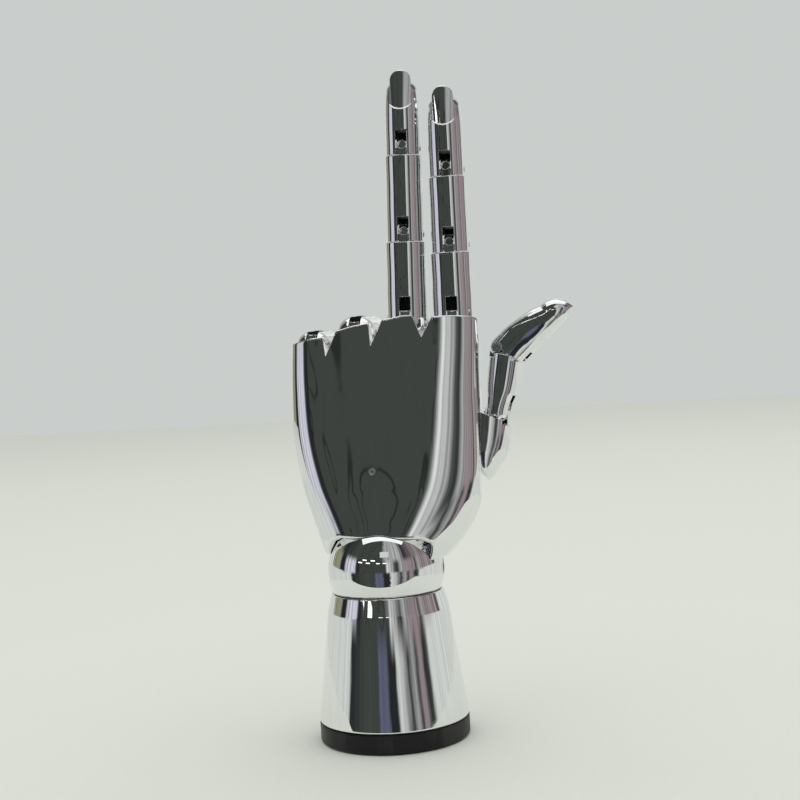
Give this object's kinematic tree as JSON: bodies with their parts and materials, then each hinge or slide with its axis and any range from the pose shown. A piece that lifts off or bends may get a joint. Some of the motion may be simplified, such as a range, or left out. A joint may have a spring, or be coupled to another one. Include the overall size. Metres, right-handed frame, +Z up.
{
  "type": "hand mannequin",
  "caption": "Chrome-plated articulated left hand on a forearm cone with a black foot, for display: ball wrist, swivelling thumb and slotted hinges that hold their pose.",
  "frame": {"origin": "middle of the foot's underside", "axes": "+Z up along the forearm, -Y out of the back of the hand, +X towards the thumb"},
  "size_m": [0.1144, 0.0714, 0.2643],
  "materials": {
    "chrome": "mirror plating over moulded plastic",
    "base": "satin black moulding",
    "steel": "plain turned steel",
    "rubber": "dull black"
  },
  "bodies": {
    "forearm": {"base_foot": "base", "forearm_shell": "chrome"},
    "wrist": {"wrist_ball": "chrome", "wrist_bolt": "steel", "friction_washer": "rubber", "wrist_pivot_screw": "steel"},
    "palm": {"palm_shell": "chrome", "wrist_tongue": "steel"},
    "index_proximal": {"index_proximal": "chrome", "index_knuckle_screw": "steel"},
    "index_middle": {"index_middle": "chrome", "index_middle_screw": "steel"},
    "index_distal": {"index_distal": "chrome", "index_tip_screw": "steel"},
    "middle_proximal": {"middle_proximal": "chrome", "middle_knuckle_screw": "steel"},
    "middle_middle": {"middle_middle": "chrome", "middle_middle_screw": "steel"},
    "middle_distal": {"middle_distal": "chrome", "middle_tip_screw": "steel"},
    "ring_proximal": {"ring_proximal": "chrome", "ring_knuckle_screw": "steel"},
    "ring_middle": {"ring_middle": "chrome", "ring_middle_screw": "steel"},
    "ring_distal": {"ring_distal": "chrome", "ring_tip_screw": "steel"},
    "little_proximal": {"little_proximal": "chrome", "little_knuckle_screw": "steel"},
    "little_middle": {"little_middle": "chrome", "little_middle_screw": "steel"},
    "little_distal": {"little_distal": "chrome", "little_tip_screw": "steel"},
    "thumb_base": {"thumb_base": "chrome", "thumb_pivot_pin": "steel"},
    "thumb_proximal": {"thumb_proximal": "chrome", "thumb_low_screw": "steel"},
    "thumb_distal": {"thumb_distal": "chrome", "thumb_tip_screw": "steel"}
  },
  "joints": [
    {"name": "wrist_swivel", "type": "hinge", "parent": "forearm", "child": "wrist", "pos_m": [0, 0, 0.0675], "axis": [0, 0, 1], "continuous": true},
    {"name": "wrist_tilt", "type": "hinge", "parent": "wrist", "child": "palm", "pos_m": [0, 0, 0.0675], "axis": [-1, 0, 0], "range_deg": [-20, 20]},
    {"name": "index_knuckle_bend", "type": "hinge", "parent": "palm", "child": "index_proximal", "pos_m": [0.03297, 0, 0.16351], "axis": [-1, 0, 0.0087], "range_deg": [0, 88]},
    {"name": "index_middle_bend", "type": "hinge", "parent": "index_proximal", "child": "index_middle", "pos_m": [0.03323, 0, 0.1937], "axis": [-1, 0, 0.0087], "range_deg": [0, 85]},
    {"name": "index_tip_bend", "type": "hinge", "parent": "index_middle", "child": "index_distal", "pos_m": [0.03349, 0, 0.2235], "axis": [-1, 0, 0.0087], "range_deg": [0, 25]},
    {"name": "middle_knuckle_bend", "type": "hinge", "parent": "palm", "child": "middle_proximal", "pos_m": [0.0144, 0, 0.16458], "axis": [-0.9995, 0, 0.0314], "range_deg": [0, 88]},
    {"name": "middle_middle_bend", "type": "hinge", "parent": "middle_proximal", "child": "middle_middle", "pos_m": [0.01548, 0, 0.19906], "axis": [-0.9995, 0, 0.0314], "range_deg": [0, 85]},
    {"name": "middle_tip_bend", "type": "hinge", "parent": "middle_middle", "child": "middle_distal", "pos_m": [0.01656, 0, 0.23315], "axis": [-0.9995, 0, 0.0314], "range_deg": [0, 25]},
    {"name": "ring_knuckle_bend", "type": "hinge", "parent": "palm", "child": "ring_proximal", "pos_m": [-0.00648, 0, 0.16167], "axis": [-0.9976, 0, 0.0698], "range_deg": [-88, 0]},
    {"name": "ring_middle_bend", "type": "hinge", "parent": "ring_proximal", "child": "ring_middle", "pos_m": [-0.00641, 0.03118, 0.16275], "axis": [-0.9976, 0, 0.0698], "range_deg": [-85, 0]},
    {"name": "ring_tip_bend", "type": "hinge", "parent": "ring_middle", "child": "ring_distal", "pos_m": [-0.00851, 0.03489, 0.13265], "axis": [-0.9976, 0, 0.0698], "range_deg": [-20, 5]},
    {"name": "little_knuckle_bend", "type": "hinge", "parent": "palm", "child": "little_proximal", "pos_m": [-0.02431, 0, 0.1577], "axis": [-0.9962, 0, 0.0872], "range_deg": [-88, 0]},
    {"name": "little_middle_bend", "type": "hinge", "parent": "little_proximal", "child": "little_middle", "pos_m": [-0.02424, 0.02518, 0.15857], "axis": [-0.9962, 0, 0.0872], "range_deg": [-85, 0]},
    {"name": "little_tip_bend", "type": "hinge", "parent": "little_middle", "child": "little_distal", "pos_m": [-0.02626, 0.02804, 0.13543], "axis": [-0.9962, 0, 0.0872], "range_deg": [-20, 5]},
    {"name": "thumb_swivel", "type": "hinge", "parent": "palm", "child": "thumb_base", "pos_m": [0.04066, 0.003, 0.11343], "axis": [-0.9986, 0, 0.0523], "range_deg": [0, 45]},
    {"name": "thumb_low_bend", "type": "hinge", "parent": "thumb_base", "child": "thumb_proximal", "pos_m": [0.04811, 0.003, 0.12766], "axis": [-0.2076, -0.9781, 0.0109], "range_deg": [-25, 5]},
    {"name": "thumb_tip_bend", "type": "hinge", "parent": "thumb_proximal", "child": "thumb_distal", "pos_m": [0.05051, 0.00278, 0.15328], "axis": [-0.2076, -0.9781, 0.0109], "range_deg": [0, 50]}
  ]
}
